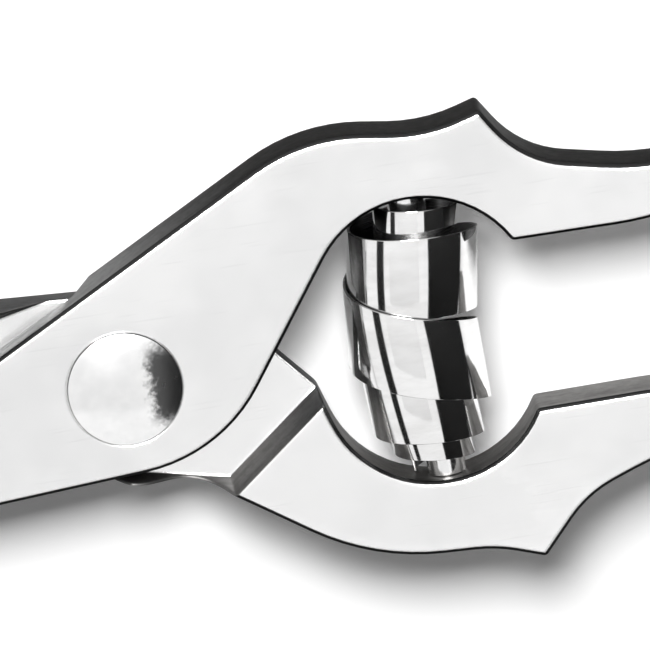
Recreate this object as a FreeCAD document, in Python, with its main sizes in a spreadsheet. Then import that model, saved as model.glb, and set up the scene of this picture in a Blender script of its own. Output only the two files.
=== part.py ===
"""Spring-opened nutcracker: two crossed levers on one pivot, a double volute spring between the handles.

Frame, in millimetres: the origin is the centre of the pivot at the levers' back faces. +X runs to the
handles along the line that halves the tool, +Y to the front lever's handle, and +Z out of the front face.
The tool is modelled open, as its spring holds it.
"""
import FreeCAD, Part
import math
import operator
import os
import Sketcher

# Driving dimensions. Lengths are in millimetres and angles in degrees.
DRIVING = {
    # stock
    "lever_thickness": 9.5,
    "edge_chamfer": 0.45,
    "lap_clearance": 0.04,
    # pivot
    "shank_radius": 4.0,
    "pivot_clearance": 0.05,
    "head_radius": 7.6,
    "recess_clearance": 0.1,
    "recess_depth": 1.2,
    "head_rim": 1.5,
    "dome_rise": 1.1,
    "tail_flare": 0.6,
    # crossing: how far each side of the lever stands from the pivot, and its lean to the X axis
    "back_edge_reach": 13.45,
    "back_edge_angle": 27.9,
    "web_edge_angle": 54.5,
    "front_edge_reach": 11.9,
    "front_edge_angle": 3.6,
    "lap_shoulder_reach": 19.5,
    "lap_shoulder_angle": 52.0,
    "jaw_shoulder_clearance": 0.5,
    "edge_shoulder_clearance": 0.4,
    "shoulder_angle": 19.5,
    # closing
    "closing_angle": 16.0,
    "closed_jaw_gap": 0.6,
    "closed_handle_gap": 3.0,
    # spring seat
    "spring_reach": 41.0,
    "seat_rise": 4.5,
    "seat_radius": 14.9,
    "lip_angle": 28.6,
    # handle: each place follows the one before it, along X by its run and across by its step or drop
    "hump_rise": 30.3,
    "hump_fall": 2.5,
    "rise_reach": 45.0,
    "cusp_run": 7.3,
    "cusp_step": 2.15,
    "throat_run": 5.0,
    "throat_drop": 7.75,
    "waist_run": 19.0,
    "waist_drop": 4.1,
    "grip_run": 34.0,
    "grip_swell": 10.0,
    "handle_end_run": 23.0,
    "handle_end_width": 9.0,
    "inner_bend_run": 17.0,
    # rear lever: its back is slimmer beside the pivot and fuller behind the spring, its web has a spur
    "rear_back_reach": 12.95,
    "rear_back_angle": 27.6,
    "boss_reach": 1.5,
    "rear_rise_shift": 0.8,
    "rear_rise_step": 1.8,
    "rear_rise_run": 16.4,
    "rear_hump_drop": 0.8,
    "rear_cusp_step": 2.25,
    "rear_throat_shift": 1.8,
    "rear_throat_drop": 7.45,
    "notch_run": 21.1,
    "notch_drop": 14.6,
    "rear_web_angle": 72.0,
    "spur_length": 4.3,
    # jaw
    "cavity_reach": 56.5,
    "cavity_drop": 3.0,
    "cavity_radius": 13.5,
    "tip_length": 3.4,
    "nose_reach": 73.3,
    "nose_drop": 17.5,
    "jaw_back_reach": 62.0,
    "jaw_front_reach": 48.5,
    "jaw_drop": 24.4,
    "neck_reach": 31.0,
    "tooth_count": 11,
    "tooth_depth": 0.9,
    "tooth_width": 1.7,
    "toothed_angle": 95.0,
    # corner radii of the lever's outline; the sharp corners are rounder than the chamfer by their extra
    "crest_extra": 0.25,
    "lip_extra": 0.35,
    "hump_round": 25.0,
    "rise_round": 22.0,
    "throat_round": 14.0,
    "waist_round": 34.0,
    "grip_round": 60.0,
    "end_outer_round": 5.0,
    "end_inner_round": 3.4,
    "inner_bend_round": 40.0,
    "crotch_round": 22.0,
    "neck_round": 25.0,
    "jaw_front_round": 12.0,
    "jaw_back_round": 10.0,
    "nose_round": 4.0,
    "boss_round": 14.0,
    "notch_round": 14.0,
    "rear_hump_round": 33.0,
    "rear_rise_round": 20.0,
    "rear_throat_round": 16.0,
    "spur_round": 2.0,
    # spring pegs
    "peg_radius": 1.8,
    "peg_bite": 4.0,
    "peg_head_radius": 2.6,
    "peg_head_height": 4.2,
    "peg_crown": 0.7,
    "peg_play": 0.7,
    # volute spring
    "strip_width": 11.0,
    "strip_thickness": 0.4,
    "belly_radius": 9.1,
    "upper_half_turns": 4.5,
    "lower_half_turns": 5.5,
    "upper_wind_pitch": 0.35,
    "lower_wind_pitch": 1.0,
    "belly_drop": 6.0,
    "belly_half_turns": 0.85,
    "belly_lead": 0.3,
    "spring_bow": 1.7,
    "spring_lean": 0.5,
    "seat_gap": 0.4,
}

# Play between pieces that rest on each other and never move apart.
HAIR = 0.01

doc = FreeCAD.newDocument("Nutcracker")
sheet = doc.addObject("Spreadsheet::Sheet", "Sizes")
for row, (name, number) in enumerate(DRIVING.items(), start=1):
    sheet.set("A%d" % row, name)
    sheet.set("B%d" % row, str(number))
    sheet.setAlias("B%d" % row, name)
doc.recompute()


# ---- Sizes that know the sheet expression behind them ----

class Size:
    """A number together with the expression that gives it, so that a feature can be bound to it."""

    def __init__(self, value, text):
        self.value = float(value)
        self.text = text

    def __add__(self, other):
        return combine(self, "+", other)

    def __radd__(self, other):
        return combine(other, "+", self)

    def __sub__(self, other):
        return combine(self, "-", other)

    def __rsub__(self, other):
        return combine(other, "-", self)

    def __mul__(self, other):
        return combine(self, "*", other)

    def __rmul__(self, other):
        return combine(other, "*", self)

    def __truediv__(self, other):
        return combine(self, "/", other)

    def __neg__(self):
        return combine(0, "-", self)


OPERATORS = {"+": operator.add, "-": operator.sub, "*": operator.mul, "/": operator.truediv}


def as_size(number):
    return number if isinstance(number, Size) else Size(number, "%.6g" % number)


def combine(left, sign, right):
    left, right = as_size(left), as_size(right)
    value = OPERATORS[sign](left.value, right.value)
    return Size(value, "(%s %s %s)" % (left.text, sign, right.text))


def sine(angle):
    angle = as_size(angle)
    return Size(math.sin(math.radians(angle.value)), "sin(%s * 1 deg)" % angle.text)


def cosine(angle):
    angle = as_size(angle)
    return Size(math.cos(math.radians(angle.value)), "cos(%s * 1 deg)" % angle.text)


def tangent(angle):
    return sine(angle) / cosine(angle)


def root(number):
    return Size(math.sqrt(number.value), "sqrt(%s)" % number.text)


def size(name):
    return Size(sheet.get(name), "Sizes." + name)


def bind(thing, prop, length):
    thing.setExpression(prop, as_size(length).text)


# ---- Plane geometry. A line is (lean, reach): the direction of its normal and its distance ----

def along(lean, distance):
    """The point at a distance from the pivot in a direction."""
    return (distance * cosine(lean), distance * sine(lean))


def shift(point, step):
    return (point[0] + step[0], point[1] + step[1])


def meet(line_a, line_b):
    """Where two lines cross."""
    (lean_a, reach_a), (lean_b, reach_b) = line_a, line_b
    turn = sine(lean_b - lean_a)
    x = (reach_a * sine(lean_b) - reach_b * sine(lean_a)) / turn
    y = (reach_b * cosine(lean_a) - reach_a * cosine(lean_b)) / turn
    return (x, y)


def on_circle(line, centre, radius, side):
    """Where a line cuts a circle. side is +1 for the end to the left of the normal and -1 for the other."""
    lean, reach = line
    offset = centre[0] * cosine(lean) + centre[1] * sine(lean) - reach
    foot = shift(centre, along(lean, -offset))
    half_chord = root(radius * radius - offset * offset)
    return shift(foot, along(lean + 90, side * half_chord))


# ---- Sketches and bodies ----

def new_body(label):
    body = doc.addObject("PartDesign::Body", label)
    body.Label = label
    return body


def new_sketch(body, name, plane):
    support = next(item for item in body.Origin.OriginFeatures if item.Role == plane)
    sketch = body.newObject("Sketcher::SketchObject", name)
    sketch.AttachmentSupport = [(support, "")]
    sketch.MapMode = "FlatFace"
    return sketch


def pin(sketch, geometry, end, point, name, axes="XY"):
    """Hold one point of a sketch element at its distances from the sketch's origin."""
    for axis, length in zip("XY", point):
        if axis in axes:
            length = as_size(length)
            rule = Sketcher.Constraint("Distance" + axis, -1, 1, geometry, end, length.value)
            sketch.renameConstraint(sketch.addConstraint(rule), name + axis)
            bind(sketch, "Constraints." + name + axis, length)


def vector(point):
    return FreeCAD.Vector(as_size(point[0]).value, as_size(point[1]).value, 0)


def draw_outline(sketch, corners, arcs=None):
    """Closed outline through named corners, in clockwise order.

    arcs maps a corner to the centre of the anticlockwise arc that leaves it; other sides are straight.
    """
    arcs = arcs or {}
    names = list(corners)
    following = names[1:] + names[:1]
    for name, next_name in zip(names, following):
        start, end = vector(corners[name]), vector(corners[next_name])
        if name in arcs:
            centre = vector(arcs[name])
            circle = Part.Circle(centre, FreeCAD.Vector(0, 0, 1), (start - centre).Length)
            angles = [math.atan2(point.y - centre.y, point.x - centre.x) for point in (start, end)]
            sketch.addGeometry(Part.ArcOfCircle(circle, angles[0], angles[1]))
        else:
            sketch.addGeometry(Part.LineSegment(start, end))
    for side, name in enumerate(names):
        after = (side + 1) % len(names)
        sketch.addConstraint(Sketcher.Constraint("Coincident", side, 2, after, 1))
        if name in arcs:
            pin(sketch, side, 3, arcs[name], name + "Centre")
        arc_before = names[side - 1]
        if arc_before in arcs:
            spoke = vector(corners[name]) - vector(arcs[arc_before])
            pin(sketch, side, 1, corners[name], name, "Y" if abs(spoke.x) > abs(spoke.y) else "X")
        else:
            pin(sketch, side, 1, corners[name], name)


def draw_circle(sketch, centre, radius):
    sketch.addGeometry(Part.Circle(vector(centre), FreeCAD.Vector(0, 0, 1), radius.value))
    pin(sketch, 0, 3, centre, "centre")
    sketch.renameConstraint(sketch.addConstraint(Sketcher.Constraint("Radius", 0, radius.value)), "radius")
    bind(sketch, "Constraints.radius", radius)


def pad(body, sketch, height):
    feature = body.newObject("PartDesign::Pad", sketch.Name + "Pad")
    feature.Profile = sketch
    bind(feature, "Length", height)
    return feature


def pocket(body, sketch, depth, upwards=False, slope=None):
    """Cut a sketch into the body, down from its plane unless told otherwise, and check that it cut."""
    doc.recompute()
    before = body.Shape.Volume
    feature = body.newObject("PartDesign::Pocket", sketch.Name + "Cut")
    feature.Profile = sketch
    feature.Reversed = upwards
    bind(feature, "Length", depth)
    if slope is not None:
        bind(feature, "TaperAngle", slope)
    doc.recompute()
    if not body.Shape.Volume < before:
        raise ValueError(sketch.Name + " cuts nothing")
    return feature


def revolve(body, sketch):
    feature = body.newObject("PartDesign::Revolution", sketch.Name + "Turn")
    feature.Profile = sketch
    feature.ReferenceAxis = (sketch, ["V_Axis"])
    feature.Angle = 360
    return feature


def round_corner(body, base, corner, point, radius):
    """Round the upright edge that stands on one corner of the outline."""
    foot = vector(point)
    for number, edge in enumerate(base.Shape.Edges, start=1):
        ends = [vertex.Point for vertex in edge.Vertexes]
        level = all(abs(end.x - foot.x) + abs(end.y - foot.y) < HAIR for end in ends)
        if level and len(ends) == 2:
            fillet = body.newObject("PartDesign::Fillet", corner + "Round")
            fillet.Base = (base, ["Edge%d" % number])
            bind(fillet, "Radius", radius)
            doc.recompute()
            return fillet
    raise ValueError("no upright edge at " + corner)


def rim_edges(shape, heights):
    """Names of the edges that lie flat at one of the heights."""
    names = []
    for number, edge in enumerate(shape.Edges, start=1):
        box = edge.BoundBox
        if any(abs(box.ZMin - height) + abs(box.ZMax - height) < HAIR for height in heights):
            names.append("Edge%d" % number)
    return names


# ---- Shared places ----

thickness = size("lever_thickness")
half_closing = size("closing_angle") / 2
lap_height = thickness / 2
seat_centre = (size("spring_reach"), size("seat_rise"))
seat_radius = size("seat_radius")
lip = shift(seat_centre, along(size("lip_angle"), seat_radius))
cusp_reach = size("rise_reach") + size("cusp_run")
throat_reach = cusp_reach + size("throat_run")
waist_reach = throat_reach + size("waist_run")
grip_reach = waist_reach + size("grip_run")
handle_reach = grip_reach + size("handle_end_run")
rise_height = size("hump_rise") - size("hump_fall")
cusp_rise = rise_height + size("cusp_step")
throat_rise = cusp_rise - size("throat_drop")
waist_rise = throat_rise - size("waist_drop")
cavity_centre = (-size("cavity_reach"), -size("cavity_drop"))
cavity_radius = size("cavity_radius")

# Lines along which the two levers meet when the tool is closed.
jaw_contact = (half_closing - 90, size("closed_jaw_gap") / 2)
handle_contact = (half_closing + 90, size("closed_handle_gap") / 2)

back_edge = (size("back_edge_angle") + 90, size("back_edge_reach"))
rear_back_edge = (size("rear_back_angle") + 90, size("rear_back_reach"))
front_edge = (size("front_edge_angle") - 90, size("front_edge_reach"))
web_lean = size("web_edge_angle") - 90
web_edge = (
    web_lean,
    seat_centre[0] * cosine(web_lean) + seat_centre[1] * sine(web_lean) - seat_radius,
)


def upright(reach):
    """The line square to X at a reach, negative on the jaws' side."""
    return (as_size(0), as_size(reach))


def front_back():
    """Corners of the front lever's back, from the nut cavity to the throat."""
    return {
        "cavity": on_circle(back_edge, cavity_centre, cavity_radius, -1),
        "hump": meet(back_edge, (as_size(90), size("hump_rise"))),
        "rise": (size("rise_reach"), rise_height),
        "crest": (cusp_reach, cusp_rise),
        "throat": (throat_reach, throat_rise),
    }


def rear_back():
    """The same stretch of the rear lever, notched beside the pivot."""
    rise = (size("rise_reach") + size("rear_rise_shift"), rise_height + size("rear_rise_step"))
    hump = (rise[0] - size("rear_rise_run"), rise[1] - size("rear_hump_drop"))
    crest = (cusp_reach, rise[1] + size("rear_cusp_step"))
    return {
        "cavity": on_circle(rear_back_edge, cavity_centre, cavity_radius, -1),
        "boss": meet(rear_back_edge, upright(-size("boss_reach"))),
        "notch": (hump[0] - size("notch_run"), hump[1] - size("notch_drop")),
        "rear_hump": hump,
        "rear_rise": rise,
        "rear_crest": crest,
        "rear_throat": (throat_reach + size("rear_throat_shift"), crest[1] - size("rear_throat_drop")),
    }


def corner_rounds():
    """Radius of each rounded corner."""
    rounds = {name[:-len("_round")]: size(name) for name in DRIVING if name.endswith("_round")}
    sharp = size("edge_chamfer") + size("crest_extra")
    rounds["crest"] = rounds["rear_crest"] = sharp
    rounds["lip"] = size("edge_chamfer") + size("lip_extra")
    return rounds


def front_web():
    """Where the front lever's spring seat runs into its web."""
    return {"seat": shift(seat_centre, along(web_lean, -seat_radius))}


def rear_web():
    """The same on the rear lever, whose web has a spur there."""
    steep = size("rear_web_angle")
    seat = shift(seat_centre, along(steep - 90, -seat_radius))
    return {"seat": seat, "spur": shift(seat, along(steep, -size("spur_length")))}


def lever_corners(back, web):
    """Corners of a lever's outline, clockwise from the inner corner of the handle's end."""
    end_inner = meet(handle_contact, upright(handle_reach))
    tip = on_circle(jaw_contact, cavity_centre, cavity_radius, -1)
    return {
        "end_inner": end_inner,
        "inner_bend": meet(handle_contact, upright(lip[0] + size("inner_bend_run"))),
        "lip": lip,
        **web,
        "crotch": meet(web_edge, front_edge),
        "neck": meet(front_edge, upright(-size("neck_reach"))),
        "jaw_front": (-size("jaw_front_reach"), -size("jaw_drop")),
        "jaw_back": (-size("jaw_back_reach"), -size("jaw_drop")),
        "nose": (-size("nose_reach"), -size("nose_drop")),
        "tip_outer": shift(tip, along(half_closing + 180, size("tip_length"))),
        "tip_inner": tip,
        **back,
        "waist": (waist_reach, waist_rise),
        "grip": (grip_reach, waist_rise + size("grip_swell")),
        "end_outer": (handle_reach, end_inner[1] + size("handle_end_width")),
    }


def cut_lap(body):
    """Take away the back half where the other lever crosses, between sloping shoulders."""
    slope = size("shoulder_angle")
    lean_back = lap_height * tangent(slope)
    handle_shoulder = (size("lap_shoulder_angle"), size("lap_shoulder_reach") + lean_back)
    jaw_lean = back_edge[0] - 180 - 2 * size("back_edge_angle") + size("closing_angle")
    jaw_reach = size("back_edge_reach") + size("jaw_shoulder_clearance") + lean_back
    edge_reach = size("front_edge_reach") + size("edge_shoulder_clearance") + lean_back
    open_shoulder = (90 - size("front_edge_angle"), edge_reach)
    closed_shoulder = (open_shoulder[0] + size("closing_angle"), edge_reach)
    past_outline = handle_reach / 2
    handle_foot = along(*handle_shoulder)
    jaw_foot = along(jaw_lean, jaw_reach)
    corners = {
        "handle_end": shift(handle_foot, along(handle_shoulder[0] - 90, past_outline / 2)),
        "jaw_end": shift(jaw_foot, along(jaw_lean + 90, past_outline / 2)),
        "jaw_start": shift(jaw_foot, along(jaw_lean - 90, past_outline)),
        "edge_start": shift(along(*open_shoulder), along(open_shoulder[0] + 90, past_outline)),
        "edge_turn": meet(open_shoulder, closed_shoulder),
        "edge_end": meet(closed_shoulder, handle_shoulder),
    }
    sketch = new_sketch(body, "Lap", "XY_Plane")
    draw_outline(sketch, corners)
    pocket(body, sketch, lap_height + size("lap_clearance") / 2, upwards=True, slope=-slope)


def cut_teeth(body):
    """Upright V grooves round the floor of the nut cavity."""
    sketch = new_sketch(body, "Tooth", "XY_Plane")
    bind(sketch, "AttachmentOffset.Base.x", cavity_centre[0])
    bind(sketch, "AttachmentOffset.Base.y", cavity_centre[1])
    first = -90 - size("toothed_angle") / 2
    mouth = along(first, cavity_radius - size("tooth_depth"))
    draw_outline(sketch, {
        "left": shift(mouth, along(first + 90, size("tooth_width"))),
        "root": along(first, cavity_radius + size("tooth_depth")),
        "right": shift(mouth, along(first - 90, size("tooth_width"))),
    })
    groove = pocket(body, sketch, thickness, upwards=True)
    pattern = body.newObject("PartDesign::PolarPattern", "Teeth")
    pattern.Originals = [groove]
    pattern.Axis = (sketch, ["N_Axis"])
    bind(pattern, "Angle", size("toothed_angle"))
    bind(pattern, "Occurrences", size("tooth_count"))
    body.Tip = pattern


def cut_pivot(body):
    """Bore for the rivet, with a round recess for its head in the outer face."""
    centre = (as_size(0), as_size(0))
    bore = new_sketch(body, "Bore", "XY_Plane")
    draw_circle(bore, centre, size("shank_radius") + size("pivot_clearance"))
    pocket(body, bore, thickness, upwards=True)
    recess = new_sketch(body, "Recess", "XY_Plane")
    bind(recess, "AttachmentOffset.Base.z", thickness)
    draw_circle(recess, centre, size("head_radius") + size("recess_clearance"))
    pocket(body, recess, size("recess_depth"))


def cut_peg_hole(body):
    """Blind hole in the middle of the spring seat."""
    sketch = new_sketch(body, "PegHole", "XZ_Plane")
    draw_circle(sketch, (seat_centre[0], lap_height), size("peg_radius") + HAIR)
    pocket(body, sketch, seat_centre[1] + seat_radius + size("peg_bite"))


def make_lever(label, back, web):
    """One forged lever, lying as the front lever does: handle at +Y, jaw at -Y, back half lapped."""
    body = new_body(label)
    corners = lever_corners(back, web)
    outline = new_sketch(body, "Outline", "XY_Plane")
    draw_outline(outline, corners, {"lip": seat_centre, "tip_inner": cavity_centre})
    solid = pad(body, outline, thickness)
    doc.recompute()
    rounds = corner_rounds()
    for name, point in corners.items():
        if name in rounds:
            solid = round_corner(body, solid, name, point, rounds[name])
    chamfer = body.newObject("PartDesign::Chamfer", "Edges")
    chamfer.Base = (solid, rim_edges(solid.Shape, (0, thickness.value)))
    bind(chamfer, "Size", size("edge_chamfer"))
    cut_lap(body)
    cut_pivot(body)
    cut_peg_hole(body)
    cut_teeth(body)
    return body


front_lever = make_lever("front_lever", front_back(), front_web())

# The rear lever is made the same way and turned over about the X axis.
rear_lever = make_lever("rear_lever", rear_back(), rear_web())
rear_lever.Placement = FreeCAD.Placement(FreeCAD.Vector(), FreeCAD.Rotation(FreeCAD.Vector(1, 0, 0), 180))
bind(rear_lever, "Placement.Base.z", thickness)


# ---- Pivot ----

shank = size("shank_radius")
flare = size("tail_flare")
head_seat = thickness - size("recess_depth") + size("pivot_clearance")

rivet = new_body("pivot_rivet")
profile = new_sketch(rivet, "RivetProfile", "XZ_Plane")
rim_top = head_seat + size("head_rim")
head_radius = size("head_radius")
dome_rise = size("dome_rise")
dome_radius = (head_radius * head_radius + dome_rise * dome_rise) / (2 * dome_rise)
draw_outline(
    profile,
    {
        "tail": (as_size(0), as_size(0)),
        "flare_rim": (shank + flare, as_size(0)),
        "flare_root": (shank, flare),
        "neck": (shank, head_seat),
        "head_edge": (head_radius, head_seat),
        "head_rim": (head_radius, rim_top),
        "crown": (as_size(0), rim_top + dome_rise),
    },
    {"head_rim": (as_size(0), rim_top + dome_rise - dome_radius)},
)
revolve(rivet, profile)

# Ring in the rear lever's recess that the rivet's tail is peened over, flush with the lever.
collar = new_body("rivet_collar")
profile = new_sketch(collar, "CollarProfile", "XZ_Plane")
collar_top = size("recess_depth") - HAIR
draw_outline(profile, {
    "flare_rim": (shank + flare + HAIR, as_size(0)),
    "outer_back": (head_radius, as_size(0)),
    "outer_front": (head_radius, collar_top),
    "inner_front": (shank + HAIR, collar_top),
    "flare_root": (shank + HAIR, flare),
})
revolve(collar, profile)


# ---- Spring pegs ----

def make_peg(label, side):
    """Round peg pressed into a lever's seat. side is +1 at the front lever and -1 at the rear one."""
    body = new_body(label)
    sketch = new_sketch(body, label + "Profile", "XZ_Plane")
    shank_top = size("peg_bite")
    head_radius = size("peg_head_radius")
    sagitta = seat_radius - root(seat_radius * seat_radius - head_radius * head_radius)
    head_top = -(sagitta + HAIR)
    tip = -size("peg_head_height")
    crown = size("peg_crown")
    draw_outline(sketch, {
        "foot": (as_size(0), shank_top - HAIR),
        "foot_rim": (size("peg_radius"), shank_top - HAIR),
        "neck": (size("peg_radius"), head_top),
        "head": (head_radius, head_top),
        "shoulder": (head_radius, tip + crown),
        "tip_rim": (head_radius - crown, tip),
        "tip": (as_size(0), tip),
    })
    revolve(body, sketch)
    body.Placement = FreeCAD.Placement(
        FreeCAD.Vector(), FreeCAD.Rotation(FreeCAD.Vector(1, 0, 0), -90 * side)
    )
    bind(body, "Placement.Base.x", seat_centre[0])
    bind(body, "Placement.Base.y", (seat_centre[1] + seat_radius) * side)
    bind(body, "Placement.Base.z", lap_height)
    return body


upper_peg = make_peg("upper_spring_peg", 1)
lower_peg = make_peg("lower_spring_peg", -1)
doc.recompute()


# ---- Volute spring ----

STEPS_PER_HALF_TURN = 8


def make_spring():
    """One flat strip wound outwards from each seat to the belly, where its pitch opens to pass itself.

    The strip is followed in half turns from the belly: negative towards the front lever's seat. Its axis
    bows towards the pivot between the seats and leans a little.
    """
    width = size("strip_width").value
    strip = size("strip_thickness").value
    upper = size("upper_half_turns").value
    lower = size("lower_half_turns").value
    drop = size("belly_drop").value
    spread = size("belly_half_turns").value
    lead = size("belly_lead").value
    bow = size("spring_bow").value
    lean = size("spring_lean").value
    belly = size("belly_radius").value
    upper_pitch = size("upper_wind_pitch").value
    lower_pitch = size("lower_wind_pitch").value
    smallest = (size("peg_head_radius") + size("peg_play")).value + strip / 2

    def wind_radius(turn):
        pitch, last = (upper_pitch, upper) if turn < 0 else (lower_pitch, lower)
        curl = belly - pitch * last - smallest
        return belly - pitch * abs(turn) - curl * (turn / last) ** 4

    def belly_share(turn):
        return drop * math.tanh((turn + lead) / spread)

    def seat_height(radius):
        return seat_centre[1].value + math.sqrt(seat_radius.value ** 2 - radius ** 2)

    gap = size("seat_gap").value
    upper_end = seat_height(wind_radius(-upper) + strip / 2) - gap - width / 2
    lower_end = -seat_height(wind_radius(lower) + strip / 2) + gap + width / 2
    step = (upper_end - lower_end - belly_share(lower) + belly_share(-upper)) / (upper + lower)
    middle = upper_end - step * upper + belly_share(-upper)

    def strip_height(turn):
        return middle - step * turn - belly_share(turn)

    def axis_reach(turn):
        share = strip_height(turn) / upper_end
        return seat_centre[0].value - bow * (1 - share ** 2) + lean * share

    count = round((upper + lower) * STEPS_PER_HALF_TURN)
    turns = [-upper + (upper + lower) * index / count for index in range(count + 1)]

    def edge(radius_offset, height_offset):
        points = []
        for turn in turns:
            angle = math.pi / 2 - math.pi * turn
            radius = wind_radius(turn) + radius_offset
            points.append(FreeCAD.Vector(
                axis_reach(turn) + radius * math.cos(angle),
                strip_height(turn) + height_offset,
                lap_height.value + radius * math.sin(angle),
            ))
        curve = Part.BSplineCurve()
        curve.interpolate(Points=points, Parameters=turns)
        return curve.toShape()

    outer_top, outer_low = edge(strip / 2, width / 2), edge(strip / 2, -width / 2)
    inner_top, inner_low = edge(-strip / 2, width / 2), edge(-strip / 2, -width / 2)
    pairs = [(outer_top, outer_low), (inner_top, inner_low), (outer_top, inner_top), (outer_low, inner_low)]
    faces = [Part.makeRuledSurface(first, second) for first, second in pairs]
    for end in (0, -1):
        ring = [item.Vertexes[end].Point for item in (outer_top, outer_low, inner_low, inner_top)]
        faces.append(Part.Face(Part.makePolygon(ring + ring[:1])))
    shell = Part.Shell(Part.makeShell(faces).Faces)
    shell.sewShape()
    solid = Part.Solid(Part.Shell(shell.Faces))
    if solid.Volume < 0:
        solid.reverse()
    return solid


spring = doc.addObject("Part::Feature", "volute_spring")
spring.Label = "volute_spring"
spring.Shape = make_spring()
spring.Placement = FreeCAD.Placement()
doc.recompute()


# ---- Check and write ----

for item in doc.Objects:
    if any(word in item.State for word in ("Invalid", "Error")):
        raise ValueError(item.Name + " failed: " + ", ".join(item.State))

os.makedirs("parts", exist_ok=True)
for part in (front_lever, rear_lever, rivet, collar, upper_peg, lower_peg, spring):
    shape = part.Shape
    if shape.isNull() or not shape.isValid() or len(shape.Solids) != 1:
        raise ValueError(part.Label + " is not one valid solid")
    print("%-18s volume %9.1f" % (part.Label, shape.Volume), shape.BoundBox)
    shape.exportStep(os.path.join("parts", part.Label + ".step"))
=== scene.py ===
# %% [markdown]
# # A spring-opened nutcracker
#
# Two forged steel levers cross on one rivet, and a volute spring between the handles pushes them open.
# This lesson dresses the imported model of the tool. It keeps every solid whose shape is right, winds a
# finer spring, and gives each steel its own finish. Every length in it is in metres, in the same frame
# as the solids: the pivot stands on Z, the handles point along +X and the front of the tool faces +Z.

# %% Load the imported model
import math

import bpy
from mathutils import Matrix, Vector


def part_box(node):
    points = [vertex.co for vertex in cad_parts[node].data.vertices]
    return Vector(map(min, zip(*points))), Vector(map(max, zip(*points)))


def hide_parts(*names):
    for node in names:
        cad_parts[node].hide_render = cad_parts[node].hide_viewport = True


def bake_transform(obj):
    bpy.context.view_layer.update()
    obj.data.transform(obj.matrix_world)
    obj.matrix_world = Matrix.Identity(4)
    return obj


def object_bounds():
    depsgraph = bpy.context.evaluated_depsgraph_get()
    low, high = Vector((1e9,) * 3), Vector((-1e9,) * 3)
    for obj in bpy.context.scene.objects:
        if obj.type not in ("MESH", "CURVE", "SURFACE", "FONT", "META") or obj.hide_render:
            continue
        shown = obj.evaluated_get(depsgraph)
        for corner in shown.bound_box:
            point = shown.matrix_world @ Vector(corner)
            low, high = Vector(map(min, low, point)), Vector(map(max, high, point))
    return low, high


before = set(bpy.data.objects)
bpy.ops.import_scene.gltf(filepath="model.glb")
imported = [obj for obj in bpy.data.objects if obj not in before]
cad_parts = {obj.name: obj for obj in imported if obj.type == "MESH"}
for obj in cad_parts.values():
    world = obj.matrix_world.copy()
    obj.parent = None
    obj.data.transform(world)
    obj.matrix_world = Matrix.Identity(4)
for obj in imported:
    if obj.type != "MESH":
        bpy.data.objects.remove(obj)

MM = 0.001
bpy.context.scene.view_settings.view_transform = "Standard"
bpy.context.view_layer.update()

# %% [markdown]
# ## Camera
#
# Only the middle of the tool fills the picture: the pivot at the left, the spring in the middle and the
# start of the handles at the right. The camera stands far off with a long lens, so parallel edges stay
# parallel. It leans a little towards the upper handle, which shows the walls that face up, and it is
# rolled so that the handles climb to the right. A camera could be turned by three angles, but it is
# easier to say where the right, the top and the viewer lie, and to make those three its axes.

# %% Camera
PICTURE_WIDTH = 86.7 * MM
CAMERA_DISTANCE = 3.0
CAMERA_LEAN = math.radians(13)
CAMERA_LEAN_LEFT = math.radians(14)
CAMERA_ROLL = math.radians(8.6)
SENSOR_WIDTH = 36.0
picture_centre = Vector((27.7, 4.32, 9.5)) * MM

roll = Matrix.Rotation(-CAMERA_ROLL, 3, "Z")
picture_right = roll @ Vector((1, 0, 0))
picture_up = roll @ Vector((0, 1, 0))
lean_towards = math.cos(CAMERA_LEAN_LEFT) * picture_up - math.sin(CAMERA_LEAN_LEFT) * picture_right
towards_camera = math.cos(CAMERA_LEAN) * Vector((0, 0, 1)) + math.sin(CAMERA_LEAN) * lean_towards
camera_up = (picture_up - picture_up.dot(towards_camera) * towards_camera).normalized()
camera_right = camera_up.cross(towards_camera)

lens = bpy.data.cameras.new("camera")
lens.sensor_width = SENSOR_WIDTH
lens.lens = SENSOR_WIDTH * CAMERA_DISTANCE / PICTURE_WIDTH
camera = bpy.data.objects.new("camera", lens)
bpy.context.scene.collection.objects.link(camera)
turn = Matrix((camera_right, camera_up, towards_camera)).transposed().to_4x4()
camera.matrix_world = Matrix.Translation(picture_centre + CAMERA_DISTANCE * towards_camera) @ turn
bpy.context.scene.camera = camera
print("lens %.0f mm at %.2f m" % (lens.lens, CAMERA_DISTANCE))

# %% [markdown]
# ## Shader sums
#
# A finish is mostly arithmetic: a mask times a strength, one pattern over another. Nodes for that are
# hard to read one by one, so a small class wraps a socket, and a sum in Python adds its Math nodes.

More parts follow.
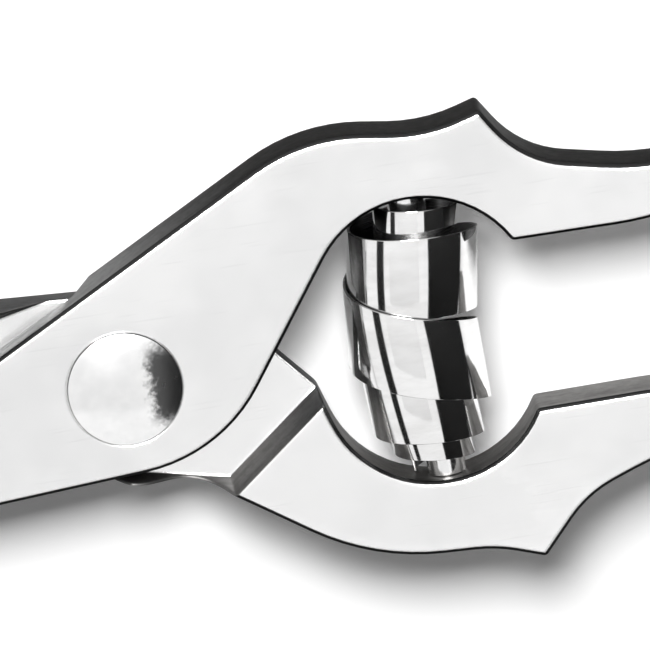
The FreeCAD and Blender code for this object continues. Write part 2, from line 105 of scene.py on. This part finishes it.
# %% A socket that can be added and multiplied
class Signal:
    """One output of a shader graph, with Python's operators on it."""

    def __init__(self, graph, socket):
        self.graph = graph
        self.socket = socket

    def maths(self, operation, first, second):
        return self.graph.add("ShaderNodeMath", {"operation": operation}, {0: first, 1: second})

    def __add__(self, other):
        return self.maths("ADD", self, other)

    def __radd__(self, other):
        return self.maths("ADD", other, self)

    def __sub__(self, other):
        return self.maths("SUBTRACT", self, other)

    def __rsub__(self, other):
        return self.maths("SUBTRACT", other, self)

    def __mul__(self, other):
        return self.maths("MULTIPLY", self, other)

    def __rmul__(self, other):
        return self.maths("MULTIPLY", other, self)

    def __pow__(self, other):
        return self.maths("POWER", self, other)

    def size(self):
        """The number without its sign."""
        return self.maths("ABSOLUTE", self, 0.0)

    def sine(self):
        return self.maths("SINE", self, 0.0)

    def larger(self, other):
        """The larger of two numbers."""
        return self.maths("MAXIMUM", self, other)

    def step(self, low, high):
        """0 below low, 1 above high and smooth between them."""
        settings = {"interpolation_type": "SMOOTHSTEP"}
        return self.graph.add("ShaderNodeMapRange", settings, {0: self, 1: low, 2: high})

    def between(self, low, high):
        """Carries 0 to low and 1 to high."""
        return self * (high - low) + low


print("a Signal knows +, -, *, ** and", ", ".join(("size", "sine", "larger", "step", "between")))


# %% A graph, whose nodes are added by one method
class Graph:
    """A node tree, of a material or of the world."""

    def __init__(self, tree):
        self.tree = tree

    def add(self, kind, settings=None, inputs=None, output=0):
        """Adds a node of a type with its settings and the values or links of its sockets."""
        node = self.tree.nodes.new(kind)
        for name, value in (settings or {}).items():
            setattr(node, name, value)
        for name, value in (inputs or {}).items():
            self.feed(node.inputs[name], value)
        return Signal(self, node.outputs[output])

    def feed(self, socket, value):
        if isinstance(value, Signal):
            self.tree.links.new(value.socket, socket)
        else:
            socket.default_value = value

    def plain_sight(self):
        """1 for what is seen straight, in a mirror or through glass, and 0 for light that fills."""
        camera_ray, mirrored, through = (
            self.add("ShaderNodeLightPath", output="Is %s Ray" % kind)
            for kind in ("Camera", "Glossy", "Transmission")
        )
        return camera_ray.larger(mirrored).larger(through)


print("a Graph adds nodes and feeds their sockets")


# %% A finish: one material with the patterns that several steels share
class Finish(Graph):
    """A material and its surface shader. Patterns are read from the place on the piece."""

    def __init__(self, name):
        self.material = bpy.data.materials.new(name)
        self.material.use_nodes = True
        super().__init__(self.material.node_tree)
        self.surface = self.tree.nodes["Principled BSDF"]
        self.place = self.add("ShaderNodeTexCoord", output="Object")
        self.facing = self.add("ShaderNodeNewGeometry", output="Normal")

    def set(self, **values):
        """Sets sockets of the surface shader, written with _ for a space."""
        for name, value in values.items():
            self.feed(self.surface.inputs[name.replace("_", " ")], value)

    def axis(self, vector, axis):
        return self.add("ShaderNodeSeparateXYZ", inputs={0: vector}, output=axis)

    def centred(self, point):
        """The place on the piece, counted from a point."""
        inputs = {"Vector": self.place, "Location": [-distance for distance in point]}
        return self.add("ShaderNodeMapping", inputs=inputs)

    def stretched(self, x, y, z, turn=0.0):
        """The place on the piece, turned about Z, with each axis times a number."""
        inputs = {"Vector": self.place, "Rotation": (0, 0, turn), "Scale": (x, y, z)}
        return self.add("ShaderNodeMapping", inputs=inputs)

    def noise(self, vector, scale=1.0, detail=2.0, roughness=0.5):
        """Soft random values round 0.5. On the place itself, scale counts the waves in a metre."""
        inputs = {"Vector": vector, "Scale": scale, "Detail": detail, "Roughness": roughness}
        return self.add("ShaderNodeTexNoise", inputs=inputs)

    def blend(self, mask, first, second):
        """One colour where the mask is 0 and another where it is 1."""
        settings = {"data_type": "RGBA"}
        return self.add("ShaderNodeMix", settings, {0: mask, 6: first, 7: second}, output=2)

    def vector_maths(self, operation, inputs):
        return self.add("ShaderNodeVectorMath", {"operation": operation}, inputs)

    def rounded(self, radius):
        """Normals that run smoothly round an edge, as on an edge that was buffed."""
        return self.add("ShaderNodeBevel", {"samples": 6}, {"Radius": radius})

    def pillowed(self, normal, reach, share):
        """Normals that also lean a little outwards near an edge, as on a face that was buffed."""
        outwards = self.vector_maths("SCALE", {0: self.rounded(reach), "Scale": share})
        leaning = self.vector_maths("ADD", {0: normal, 1: outwards})
        return self.vector_maths("NORMALIZE", {0: leaning})

    def bump(self, height, distance, strength, normal=None):
        """Relief as high as the distance, on the surface's own normals or on other ones."""
        inputs = {"Height": height, "Distance": distance, "Strength": strength}
        if normal is not None:
            inputs["Normal"] = normal
        self.set(Normal=self.add("ShaderNodeBump", inputs=inputs))


def grey(value, warmth=0.0):
    """A colour a little to the warm or the cold side of grey."""
    return (value * (1 + warmth), value, value * (1 - warmth), 1)


print("a Finish has patterns, masks, rounded edges and relief")

# %% [markdown]
# ## The levers' steel
#
# The levers are forged, and only their flat faces are ground and polished. So the faces are nearly white,
# with fine polishing lines along the handles, soft clouds where the wheel pressed harder, thin scratches
# and finger marks. The walls and the narrow bevels round the faces are painted dark: partly the slightly
# pebbled scale of the forging and partly painted dark reflection. On the front lever the walls are
# darkest along the handles and lighter beside the pivot, on the rear lever the other way round. The mask
# between the two comes from the direction that the surface faces, so it stays on the steel whatever the
# view.
#
# Two painted images would do the same, but they need a layout of every face. Noise needs none: it is
# drawn in the piece's own space, and a stretched noise gives the lines that a wheel leaves.

# %% Tones of polished and of forged steel
DULL_POLISH, BRIGHT_POLISH = grey(0.88), grey(0.97, 0.002)
SCRATCH_TONE = grey(0.70)
# The bevels' dark tone is partly forged scale and partly painted dark reflection.
DEEPEST_SCALE, BEVEL_SCALE_AND_PAINTED_REFLECTION = grey(0.02), grey(0.03)
EDGE_TINT = grey(0.35)      # how much of the white room a wall mirrors when it is seen from the side
EDGE_RADIUS = 0.6 * MM
BUFFED_REACH, BUFFED_SHARE = 3.5 * MM, 0.16
print("polish from %.2f to %.2f" % (DULL_POLISH[1], BRIGHT_POLISH[1]))


# %% Where the faces, the bevels and the dark scale lie
def lever_masks(steel, wall_middle_reaches, bevel_middle_reaches):
    """Masks of the flat faces, of the walls that take the handles' tone, and of the bevels that are
    painted dark, as scale and as painted dark reflection.
    """
    level = steel.axis(steel.facing, "Z").size()
    faces = level.step(0.74, 0.95)
    bevels = level.step(0.25, 0.55)
    from_middle = steel.axis(steel.place, "Y").size()
    handle = steel.axis(steel.place, "X").step(-12 * MM, 22 * MM)
    dark_walls = handle * from_middle.step(wall_middle_reaches - 4 * MM, wall_middle_reaches + 4 * MM)
    outside_middle = from_middle.step(bevel_middle_reaches - 3 * MM, bevel_middle_reaches + 3 * MM)
    return faces, dark_walls, bevels * outside_middle.between(0.1, 1.0)


def thin_scratches(steel):
    """Two sets of long thin scratches that cross each other."""
    along = steel.noise(steel.stretched(90.0, 2600.0, 400.0), detail=1.0).step(0.68, 0.74)
    across = steel.noise(steel.stretched(110.0, 3000.0, 400.0, math.radians(38)), detail=1.0)
    return along + across.step(0.70, 0.76)


print("masks follow the way that the steel faces")


# %% Polished forging
def polished_forging(name, scale_and_painted_reflection_tone, middle_scale_and_painted_reflection_tone, wall_middle_reaches, bevel_middle_reaches):
    """The walls take one tone far from the tool's middle line and another near it, as scale and as
    painted dark reflection.
    """
    steel = Finish(name)
    faces, dark_walls, dark_bevels = lever_masks(steel, wall_middle_reaches, bevel_middle_reaches)
    clouds = steel.noise(steel.place, scale=55.0, detail=3.0, roughness=0.6)
    lines = steel.noise(steel.stretched(60.0, 1600.0, 900.0), detail=4.0, roughness=0.65)
    marks = steel.noise(steel.place, scale=160.0, detail=5.0, roughness=0.55).step(0.56, 0.70)
    scratches = thin_scratches(steel)
    pebbles = steel.noise(steel.place, scale=900.0, detail=4.0, roughness=0.6)
    streaks = steel.noise(steel.stretched(60.0, 60.0, 500.0), detail=3.0, roughness=0.6)

    polish = steel.blend(clouds.step(0.3, 0.7), DULL_POLISH, BRIGHT_POLISH)
    polish = steel.blend(scratches * 0.2, polish, SCRATCH_TONE)
    # The walls' and bevels' tone: forged scale and painted dark reflection in one colour.
    scale = steel.blend(dark_walls, grey(middle_scale_and_painted_reflection_tone), grey(scale_and_painted_reflection_tone, 0.02))
    soot = pebbles.step(0.3, 0.75) * 0.2 + streaks.step(0.35, 0.75) * 0.3
    scale = steel.blend(soot, scale, DEEPEST_SCALE)
    scale = steel.blend(dark_bevels, scale, BEVEL_SCALE_AND_PAINTED_REFLECTION)
    polish_roughness = lines * 0.08 + marks * 0.05 + 0.14
    steel.set(
        Base_Color=steel.blend(faces, scale, polish),
        Metallic=1.0,
        Specular_Tint=EDGE_TINT,
        Roughness=faces * polish_roughness + (1 - faces) * pebbles.between(0.30, 0.48),
    )
    relief = faces * (lines * 0.06 - scratches * 0.2) + (1 - faces) * pebbles
    buffed = steel.pillowed(steel.rounded(EDGE_RADIUS), BUFFED_REACH, BUFFED_SHARE)
    steel.bump(relief, distance=0.02 * MM, strength=0.6, normal=buffed)
    return steel.material


# The front lever's walls are painted far darker than the rear lever's, as painted dark reflection.
front_steel = polished_forging(
    "front_lever_steel", scale_and_painted_reflection_tone=0.035, middle_scale_and_painted_reflection_tone=0.36, wall_middle_reaches=14 * MM, bevel_middle_reaches=-5 * MM)
rear_steel = polished_forging(
    "rear_lever_steel", scale_and_painted_reflection_tone=0.42, middle_scale_and_painted_reflection_tone=0.13, wall_middle_reaches=10 * MM, bevel_middle_reaches=8 * MM)
print("made", front_steel.name, "and", rear_steel.name)

# %% [markdown]
# ## The rivet's steel
#
# The rivet, its collar and the pegs are turned on a lathe, and that leaves fine rings round the axis.
# A ring pattern is the distance from the axis put through a sine, here with a little noise on it so that
# no two rings are alike. Scuffs and small dents on the dome come from the hammer that closed the rivet.
# A dark reflection is painted on the head's side towards the handles as a ragged dark patch: a patch with
# straight borders, and noise added to the place before the borders are drawn, so that they run ragged.

# %% The axis that the spring and its pegs share
peg_low, peg_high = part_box("lower_spring_peg")
spring_low, spring_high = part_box("volute_spring")
lever_low, lever_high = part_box("front_lever")
spring_axis = Vector((
    round((peg_low.x + peg_high.x) / 2, 4),
    0,
    (lever_low.z + lever_high.z) / 2,
))
print("the spring's axis lies %.1f mm from the pivot" % (spring_axis.x / MM))

# %% Turned steel
RINGS_PER_METRE = 26000.0
# Tone and raggedness of the dark reflection painted on the rivet's head.
PAINTED_REFLECTION_TONE = grey(0.10)
PAINTED_REFLECTION_RAGGED = 3.5 * MM


def painted_reflection_patch(steel):
    """A mask of the painted dark reflection on the rivet's head, on the side towards the handles."""
    ragged = (steel.noise(steel.place, scale=1100.0, detail=3.0, roughness=0.7) - 0.5) * PAINTED_REFLECTION_RAGGED
    towards_handles = (steel.axis(steel.place, "X") + ragged).step(2.4 * MM, 4.4 * MM)
    aside = (steel.axis(steel.place, "Y").size() + ragged).step(3.6 * MM, 6.4 * MM)
    return towards_handles * (1 - aside)


def turned_steel(name, axis_place, across, with_painted_reflection=False):
    """across names the two axes at a right angle to the piece's own axis."""
    steel = Finish(name)
    from_axis = steel.centred(axis_place)
    first, second = (steel.axis(from_axis, axis) for axis in across)
    radius = (first * first + second * second) ** 0.5
    waver = steel.noise(steel.place, scale=300.0, detail=3.0)
    rings = (radius * RINGS_PER_METRE + waver * 2.0).sine()
    clouds = steel.noise(steel.place, scale=240.0, detail=4.0, roughness=0.6)
    dents = steel.noise(steel.place, scale=700.0).step(0.60, 0.78)
    colour = steel.blend(clouds.step(0.3, 0.7), DULL_POLISH, BRIGHT_POLISH)
    roughness = clouds.between(0.10, 0.22) + dents * 0.10
    if with_painted_reflection:
        # Painted dark reflection on the head's side towards the handles.
        painted_reflection = painted_reflection_patch(steel)
        colour = steel.blend(painted_reflection, colour, PAINTED_REFLECTION_TONE)
        roughness = roughness + painted_reflection * 0.08
    steel.set(Base_Color=colour, Metallic=1.0, Roughness=roughness)
    steel.bump(rings * 0.15 - dents * 0.6, distance=0.008 * MM, strength=0.5)
    return steel.material


rivet_steel = turned_steel("rivet_steel", (0, 0, 0), "XY", with_painted_reflection=True)
peg_steel = turned_steel("peg_steel", spring_axis, "XZ")
print("made", rivet_steel.name, "and", peg_steel.name)

# %% [markdown]
# ## The spring's steel
#
# Spring strip is rolled bright and then hardly touched, so it mirrors the room. What breaks the mirror
# are rolling lines that run round the turns, a slight haze, and the sheared edges, which are duller.
# The inner side of the turns is painted dark, as painted shade inside the winding. It is found by its
# direction: there the surface faces the spring's axis, and the product of place and direction is below
# zero.

# %% Rolled strip
BOW_AT_BELLY = 1 * MM
STRIP_TONE, HAZE_TONE = grey(0.90, 0.002), grey(0.78, 0.006)
# The inner side of the turns is painted darker, as painted shade.
SHEARED_TONE, INSIDE_PAINTED_SHADE_TONE = grey(0.34), grey(0.10)


def rolled_strip(name):
    steel = Finish(name)
    edges = steel.axis(steel.facing, "Y").size().step(0.45, 0.75)
    from_axis = steel.centred(spring_axis - Vector((BOW_AT_BELLY, 0, 0)))
    outward = steel.axis(from_axis, "X") * steel.axis(steel.facing, "X")
    outward += steel.axis(from_axis, "Z") * steel.axis(steel.facing, "Z")
    inside = (outward * -1.0).step(0.0, 1 * MM)
    lines = steel.noise(steel.stretched(25.0, 5200.0, 25.0), detail=3.0, roughness=0.7)
    haze = steel.noise(steel.stretched(140.0, 420.0, 140.0), detail=4.0, roughness=0.6)
    bright = steel.blend(haze.step(0.3, 0.75), STRIP_TONE, HAZE_TONE)
    outside = steel.blend(edges, bright, SHEARED_TONE)
    steel.set(
        # Painted shade on the inner side of the turns.
        Base_Color=steel.blend(inside, outside, INSIDE_PAINTED_SHADE_TONE),
        Metallic=1.0,
        Roughness=lines * 0.06 + haze * 0.07 + 0.015 + (edges + inside) * 0.2,
    )
    steel.bump(lines, distance=0.0025 * MM, strength=0.5)
    return steel.material


strip_steel = rolled_strip("strip_steel")
print("made", strip_steel.name)

# %% Give the solids their finishes
FINISHES = {
    "front_lever": front_steel,
    "rear_lever": rear_steel,
    "pivot_rivet": rivet_steel,
    "rivet_collar": rivet_steel,
    "upper_spring_peg": peg_steel,
    "lower_spring_peg": peg_steel,
}
for node, finish in FINISHES.items():
    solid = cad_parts[node]
    solid.data.materials.clear()
    solid.data.materials.append(finish)
    print("%-17s %s" % (node, finish.name))

# %% [markdown]
# ## The volute spring
#
# A volute spring is one flat strip of steel wound round an axis so that each turn lies inside its
# neighbour and a step further along. Here it starts small in the upper seat, grows to the belly in the
# middle and shrinks again into the lower seat. A modifier could twist a strip but not shrink its turns
# by a curve, so the strip is wound as on a mandrel: its end edge is extruded, turned a few degrees about
# the axis, drawn in or out, and moved along, a few hundred times. Solidify then gives the strip its
# thickness, and Bevel eases its sheared edges.

# %% Sizes of the winding, counted in half turns from the belly
STRIP_WIDTH = 11.0 * MM
STRIP_THICKNESS = 0.4 * MM
BELLY_RADIUS = 9.1 * MM
SMALLEST_RADIUS = 3.5 * MM          # in the lower seat
RING_RADIUS = 4.9 * MM              # of the upper ring, close under the upper seat
UPPER_HALF_TURNS = 4.5
LOWER_HALF_TURNS = 5.5
UPPER_PITCH = 0.22 * MM             # how much smaller each upper half turn is than the one below
LOWER_PITCH = 1.0 * MM              # how much smaller each lower half turn is than the one above
TUCK_FROM, TUCK_TO = 2.35, 4.2      # where the upper turns draw in to the ring
BELLY_DROP = 6.0 * MM               # the step along the axis from the upper to the lower coil
BELLY_HALF_TURNS = 0.85
BELLY_LEAD = 0.3
STEPS_PER_HALF_TURN = 36


def wind_radius(turn):
    """How far the strip's middle stands from the axis."""
    if turn > 0:
        curl = BELLY_RADIUS - LOWER_PITCH * LOWER_HALF_TURNS - SMALLEST_RADIUS
        return BELLY_RADIUS - LOWER_PITCH * turn - curl * (turn / LOWER_HALF_TURNS) ** 4
    tuck = BELLY_RADIUS - UPPER_PITCH * UPPER_HALF_TURNS - RING_RADIUS
    share = min(max((-turn - TUCK_FROM) / (TUCK_TO - TUCK_FROM), 0), 1)
    return BELLY_RADIUS + UPPER_PITCH * turn - tuck * share * share * (3 - 2 * share)


def belly_share(turn):
    """How much of the drop past the belly is behind the strip."""
    return BELLY_DROP * math.tanh((turn + BELLY_LEAD) / BELLY_HALF_TURNS)


print("the upper ring has a radius of %.1f mm" % (wind_radius(-UPPER_HALF_TURNS) / MM))

# %% Heights of the winding, between the two ends of the solid spring
highest = spring_high.y - STRIP_WIDTH / 2
lowest = spring_low.y + STRIP_WIDTH / 2
climb = (highest - lowest - belly_share(LOWER_HALF_TURNS) + belly_share(-UPPER_HALF_TURNS))
climb = climb / (UPPER_HALF_TURNS + LOWER_HALF_TURNS)
middle = highest - climb * UPPER_HALF_TURNS + belly_share(-UPPER_HALF_TURNS)


def strip_height(turn):
    """Where the strip's middle lies along the axis."""
    return middle - climb * turn - belly_share(turn)


print("belly at %.1f mm, each half turn %.2f mm lower" % (middle / MM, climb / MM))

# %% The first edge of the strip, in the upper seat
start_turn = -UPPER_HALF_TURNS
middle_of_plane = spring_axis.x + STRIP_WIDTH / 2
bpy.ops.object.select_all(action="DESELECT")
bpy.ops.mesh.primitive_plane_add(
    size=STRIP_WIDTH,
    location=spring_axis + Vector((STRIP_WIDTH / 2, strip_height(start_turn), wind_radius(start_turn))),
)
volute = bpy.context.active_object
volute.name = volute.data.name = "volute_strip"
bpy.ops.object.transform_apply(location=True, rotation=True, scale=True)
bpy.ops.object.mode_set(mode="EDIT")
bpy.ops.mesh.select_mode(type="VERT")
bpy.ops.mesh.select_all(action="DESELECT")
bpy.ops.object.mode_set(mode="OBJECT")
for vertex in volute.data.vertices:
    vertex.select = vertex.co.x > middle_of_plane
bpy.ops.object.mode_set(mode="EDIT")
bpy.ops.mesh.delete(type="VERT")
bpy.ops.mesh.select_all(action="SELECT")
bpy.ops.transform.rotate(value=-math.pi * start_turn, orient_axis="Y", center_override=spring_axis)
print("the strip starts %.1f mm up the axis" % (strip_height(start_turn) / MM))

# %% Wind the strip
count = round((UPPER_HALF_TURNS + LOWER_HALF_TURNS) * STEPS_PER_HALF_TURN)
turns = [start_turn + step / STEPS_PER_HALF_TURN for step in range(count + 1)]
for here, there in zip(turns, turns[1:]):
    down = strip_height(there) - strip_height(here)
    bpy.ops.mesh.extrude_region_move(TRANSFORM_OT_translate={"value": (0, down, 0)})
    angle = -math.pi * (there - here)
    bpy.ops.transform.rotate(value=angle, orient_axis="Y", center_override=spring_axis)
    draw_in = wind_radius(there) / wind_radius(here)
    bpy.ops.transform.resize(value=(draw_in, 1, draw_in), center_override=spring_axis)
bpy.ops.mesh.select_all(action="SELECT")
bpy.ops.mesh.normals_make_consistent(inside=False)
bpy.ops.object.mode_set(mode="OBJECT")
print("wound", len(volute.data.polygons), "faces")

# %% Thickness and eased edges
thickness = volute.modifiers.new("thickness", "SOLIDIFY")
thickness.thickness = STRIP_THICKNESS
thickness.offset = 0
eased = volute.modifiers.new("eased", "BEVEL")
eased.width = 0.09 * MM
eased.segments = 2
eased.limit_method = "ANGLE"
eased.angle_limit = math.radians(50)
print("the strip is %.1f mm thick" % (thickness.thickness / MM))

# %% [markdown]
# ## The bow of the spring
#
# Pushed by two levers that swing, the spring can't stay straight: its middle bows towards the pivot and
# its turns tilt with it. A lattice is a box of control points round a mesh. Its layers are moved
# sideways, one by one from the lower seat to the upper one, and the turns follow. One fault is left: the
# strip has a single face across its width, so only its edges bow and each turn stays straight between
# them. On the pivot's side neighbouring turns cut into each other, by about 0.15 mm at rest and 0.2 mm
# with the handles closed. Ten faces across the width would take nearly all of that away.

# %% Bow it with a lattice
SIDEWAYS = [-0.6, -1.05, -1.45, -1.75, -1.75, -1.4, -0.7, 0.05, 0.6]    # in mm, lower seat first
CAGE_WIDTH = 30 * MM
bpy.ops.object.select_all(action="DESELECT")
bpy.ops.object.add(type="LATTICE", location=spring_axis)
cage = bpy.context.active_object
cage.name = "bow_cage"
cage.scale = (CAGE_WIDTH, spring_high.y - spring_low.y, CAGE_WIDTH)
cage.data.points_u = cage.data.points_w = 2
cage.data.points_v = len(SIDEWAYS)
cage.data.interpolation_type_v = "KEY_CATMULL_ROM"
for index, point in enumerate(cage.data.points):
    layer = index // 2 % len(SIDEWAYS)
    point.co_deform.x += SIDEWAYS[layer] * MM / CAGE_WIDTH
bowed = volute.modifiers.new("bowed", "LATTICE")
bowed.object = cage
print("bowed by up to", -min(SIDEWAYS), "mm")

# %% [markdown]
# ## The spring in the tool
#
# The modifiers are applied in the order of the work: thickness, eased edges, bow. The finished strip
# takes the place of the solid spring, which is hidden. It can't ride on one lever, because each of its
# ends sits in the seat of another; here it stays where the solid spring stood.

# %% Apply the modifiers and hang the spring between the levers
SMOOTH_BELOW = math.radians(40)
bpy.ops.object.select_all(action="DESELECT")
volute.select_set(True)
bpy.context.view_layer.objects.active = volute
for modifier in (thickness.name, eased.name, bowed.name):
    bpy.ops.object.modifier_apply(modifier=modifier)
bpy.data.objects.remove(cage)
bpy.ops.object.shade_smooth_by_angle(angle=SMOOTH_BELOW)
volute.data.materials.append(strip_steel)
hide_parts("volute_spring")
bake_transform(volute)
print("the spring has", len(volute.data.polygons), "faces")

# %% [markdown]
# ## Floor and room
#
# The tool lies on a white table. The room is white too, so the polished faces look white: bright metal
# has no colour of its own, and only what it mirrors shows its form. If the white room also lit the
# table at full strength, the shadows would drown. So a Light Path node tells the rays apart: what is
# seen, straight or in a mirror, is white, and the light that fills the shadows is far weaker.

# %% Floor
FLOOR_SIZE = 6.0
FLOOR_TONE = grey(0.94)
FLOOR_GLOW = 0.06
FLOOR_GAP = 0.05 * MM
floor_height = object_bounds()[0][2] - FLOOR_GAP
bpy.ops.object.select_all(action="DESELECT")
bpy.ops.mesh.primitive_plane_add(size=FLOOR_SIZE, location=(0, 0, floor_height))
floor = bpy.context.active_object
floor.name = "floor"
table_top = Finish("table_top")
table_top.set(
    Base_Color=FLOOR_TONE,
    Roughness=0.8,
    Specular_IOR_Level=0.0,
    Emission_Color=table_top.blend(table_top.plain_sight(), grey(0.0), grey(1.0)),
    Emission_Strength=FLOOR_GLOW,
)
floor.data.materials.append(table_top.material)
print("the floor lies at %.2f mm" % (floor_height / MM))

# %% White room
ROOM_FILL = 0.12
world = bpy.data.worlds.new("room")
bpy.context.scene.world = world
world.use_nodes = True
room = Graph(world.node_tree)
background = room.tree.nodes["Background"]
room.feed(background.inputs["Color"], grey(1.0))
room.feed(background.inputs["Strength"], room.plain_sight().between(ROOM_FILL, 1.0))
print("the room fills the shadows with", ROOM_FILL)

# %% [markdown]
# ## Lamp
#
# One large soft lamp stands beyond the upper handle. A lamp that is wide for its distance gives shadows
# with soft borders, and its place, high up and beyond the tool, lets them fall along the lower edges.

# %% Soft lamp beyond the upper handle
LAMP_PLACE = Vector((-0.07, 0.61, 0.965))
LAMP_TARGET = Vector((0.03, 0, 0))
LAMP_SIDE = 0.51
LAMP_WATTS = 17.4
lamp = bpy.data.lights.new("key_lamp", "AREA")
lamp.shape = "SQUARE"
lamp.size = LAMP_SIDE
lamp.energy = LAMP_WATTS
key_lamp = bpy.data.objects.new("key_lamp", lamp)
key_lamp.location = LAMP_PLACE
key_lamp.rotation_euler = (LAMP_PLACE - LAMP_TARGET).normalized().to_track_quat("Z", "Y").to_euler()
bpy.context.scene.collection.objects.link(key_lamp)
print("key lamp %.1f W, %.2f m away" % (LAMP_WATTS, (LAMP_PLACE - LAMP_TARGET).length))

# %% [markdown]
# ## Cards
#
# In an all-white room a mirror-bright spring would be all white. As in a studio, black cards stand
# round the table, and each draws a dark band on the turns: the upright cards at the right draw the wide
# band, the low one at the left the narrow stripe, and the one nearest the viewer the dark lines round
# the edges. A white card hangs close above the tool and takes the glare off the faces. The cards show
# in reflections alone: they cast no shadow and are hidden from the camera.

# %% Paper cards, seen only in reflections
def card_finish(name, tone):
    paper = Finish(name)
    paper.set(Base_Color=grey(tone), Roughness=0.9, Specular_IOR_Level=0.0)
    return paper.material


def card(name, middle, tilt, width, length, finish):
    """A sheet that lies flat, width along X and length along Y, before it is tilted about X and Y."""
    bpy.ops.object.select_all(action="DESELECT")
    bpy.ops.mesh.primitive_plane_add(size=1.0, location=middle)
    sheet = bpy.context.active_object
    sheet.name = name
    sheet.rotation_euler = [math.radians(angle) for angle in tilt] + [0]
    sheet.scale = (width, length, 1)
    sheet.data.materials.append(finish)
    sheet.visible_camera = False
    sheet.visible_diffuse = False
    sheet.visible_shadow = False
    sheet.visible_transmission = False
    print("%-17s %.2f by %.2f m" % (name, width, length))


FLAT, FACING_SIDEWAYS, FACING_VIEWER = (0, 0), (0, 90), (90, 0)
black_paper = card_finish("black_paper", 0.02)
white_paper = card_finish("white_paper", 0.95)
card("right_card", (0.6, -0.15, 0.425), FACING_SIDEWAYS, 0.85, 0.9, black_paper)
card("right_wing_card", (0.6, -0.85, 0.6), FACING_SIDEWAYS, 0.5, 0.5, black_paper)
card("upper_right_card", (0.6, -0.4, 1.05), FACING_SIDEWAYS, 0.4, 1.4, black_paper)
card("left_card", (-0.6, -0.15, 0.37), FACING_SIDEWAYS, 0.2, 0.9, black_paper)
card("overhead_card", (-0.06, -0.025, 0.25), FLAT, 0.27, 0.17, white_paper)
card("near_card", (-0.1, -0.6, 0.24), FACING_VIEWER, 0.9, 0.48, black_paper)
